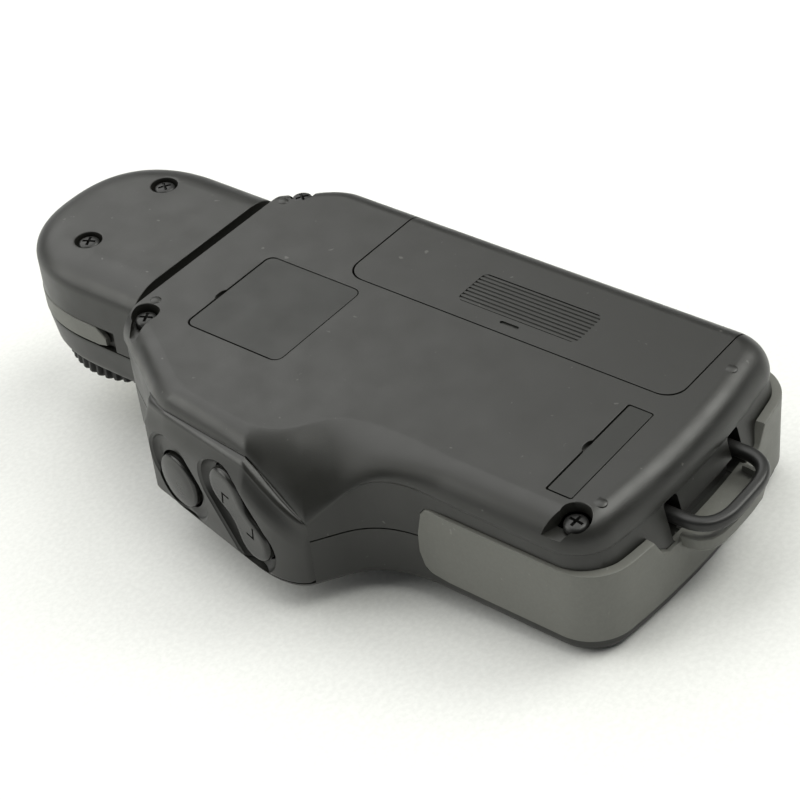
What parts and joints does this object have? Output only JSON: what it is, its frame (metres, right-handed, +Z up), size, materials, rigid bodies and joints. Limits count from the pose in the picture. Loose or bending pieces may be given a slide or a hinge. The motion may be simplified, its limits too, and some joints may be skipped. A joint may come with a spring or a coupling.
{
  "type": "handheld light meter",
  "caption": "Handheld exposure meter with a turning head, white dome diffuser in a knurled ring, side buttons, battery cover and strap ring, lying face down.",
  "frame": {"origin": "on the surface it lies on, under the middle of its bounding box, as it lies face down on its diffuser and tail", "axes": "+Y towards the turning head, +X towards the battery cover, +Z up out of the back"},
  "size_m": [0.0796, 0.1626, 0.041],
  "materials": {
    "shell_plastic": "fine spark-eroded texture, warm dark grey, satin",
    "grip_plastic": "smooth lighter grey, satin",
    "panel_plastic": "smooth dark grey, satin",
    "black_plastic": "black, low sheen",
    "key_plastic": "smooth dark grey, satin",
    "keypad_rubber": "moulded silicone, matte",
    "plate_film": "printed film, matte, blank",
    "window_acrylic": "polished smoked acrylic",
    "lcd_glass": "grey-green display glass",
    "board_laminate": "green solder mask",
    "bright_steel": "nickel plated, drawn",
    "black_steel": "black oxide, slight gloss",
    "diffuser_plastic": "translucent opal white",
    "filter_glass": "polished",
    "cell_jacket": "plain printed steel jacket, semi gloss",
    "cable_film": "amber polyimide film"
  },
  "bodies": {
    "meter_body": {"rear_cover": "shell_plastic", "front_cover": "shell_plastic", "grip_band": "grip_plastic", "label_plate": "plate_film", "serial_plate": "plate_film", "button_panel": "panel_plastic", "rocker_pin": "bright_steel", "side_switch_board": "board_laminate", "measuring_switch": "black_plastic", "rocker_switch_up": "black_plastic", "rocker_switch_down": "black_plastic", "battery_bay": "black_plastic", "battery_cell": "cell_jacket", "battery_plus_contact": "bright_steel", "battery_minus_spring": "bright_steel", "main_circuit_board": "board_laminate", "meter_chip": "black_plastic", "cable_socket": "black_plastic", "lcd_panel": "lcd_glass", "keypad_mat": "keypad_rubber", "display_window": "window_acrylic", "sync_terminal": "bright_steel", "strap_pin": "bright_steel", "neck_bush": "black_plastic", "neck_spring_washer": "bright_steel", "body_neck_plate": "black_plastic", "body_screw_1": "black_steel", "body_screw_2": "black_steel", "body_screw_3": "black_steel", "body_screw_4": "black_steel"},
    "head": {"head_rear_shell": "shell_plastic", "head_front_shell": "shell_plastic", "head_band": "grip_plastic", "neck_tube": "bright_steel", "neck_retaining_ring": "bright_steel", "head_neck_plate": "black_plastic", "sensor_cable": "cable_film", "sensor_board": "board_laminate", "photocell": "black_plastic", "photocell_filter": "filter_glass", "head_screw_1": "black_steel", "head_screw_2": "black_steel"},
    "diffuser": {"locking_ring": "black_plastic", "diffuser_dome": "diffuser_plastic"},
    "battery_door": {"battery_cover": "shell_plastic"},
    "strap_ring": {"strap_ring": "black_steel"},
    "measuring_button": {"measuring_button": "key_plastic"},
    "rocker_key": {"rocker_key": "key_plastic"},
    "power_key": {"power_key": "key_plastic"},
    "mode_key": {"mode_key": "key_plastic"},
    "iso_key": {"iso_key": "key_plastic"},
    "memory_key": {"memory_key": "key_plastic"},
    "memory_clear_key": {"memory_clear_key": "key_plastic"},
    "average_key": {"average_key": "key_plastic"}
  },
  "joints": [
    {"name": "head_turn", "type": "hinge", "parent": "meter_body", "child": "head", "pos_m": [0.00749, 0.04206, 0.02576], "axis": [0, 0.9959, 0.0906], "range_deg": [-90, 180]},
    {"name": "diffuser_turn", "type": "hinge", "parent": "head", "child": "diffuser", "pos_m": [0.00749, 0.06149, 0.01196], "axis": [0, 0.0906, -0.9959], "range_deg": [0, 35]},
    {"name": "battery_cover_slide", "type": "slide", "parent": "meter_body", "child": "battery_door", "axis": [1, 0, 0], "range_m": [0, 0.012]},
    {"name": "strap_ring_swing", "type": "hinge", "parent": "meter_body", "child": "strap_ring", "pos_m": [0.00749, -0.06804, 0.01855], "axis": [-1, 0, 0], "range_deg": [0, 32]},
    {"name": "measuring_press", "type": "slide", "parent": "meter_body", "child": "measuring_button", "axis": [0.9789, -0.2037, -0.0185], "range_m": [0, 0.001], "stiffness_N_per_m": 1500},
    {"name": "rocker_tilt", "type": "hinge", "parent": "meter_body", "child": "rocker_key", "pos_m": [-0.03415, -0.00358, 0.01829], "axis": [-0.152, -0.7851, 0.6004], "range_deg": [-4, 4], "stiffness_Nm_per_rad": 0.5},
    {"name": "power_key_press", "type": "slide", "parent": "meter_body", "child": "power_key", "axis": [0, -0.0906, 0.9959], "range_m": [0, 0.0006], "stiffness_N_per_m": 1500},
    {"name": "mode_key_press", "type": "slide", "parent": "meter_body", "child": "mode_key", "axis": [0, -0.0906, 0.9959], "range_m": [0, 0.0006], "stiffness_N_per_m": 1500},
    {"name": "iso_key_press", "type": "slide", "parent": "meter_body", "child": "iso_key", "axis": [0, -0.0906, 0.9959], "range_m": [0, 0.0006], "stiffness_N_per_m": 1500},
    {"name": "memory_key_press", "type": "slide", "parent": "meter_body", "child": "memory_key", "axis": [0, -0.0906, 0.9959], "range_m": [0, 0.0006], "stiffness_N_per_m": 1500},
    {"name": "memory_clear_key_press", "type": "slide", "parent": "meter_body", "child": "memory_clear_key", "axis": [0, -0.0906, 0.9959], "range_m": [0, 0.0006], "stiffness_N_per_m": 1500},
    {"name": "average_key_press", "type": "slide", "parent": "meter_body", "child": "average_key", "axis": [0, -0.0906, 0.9959], "range_m": [0, 0.0006], "stiffness_N_per_m": 1500}
  ]
}
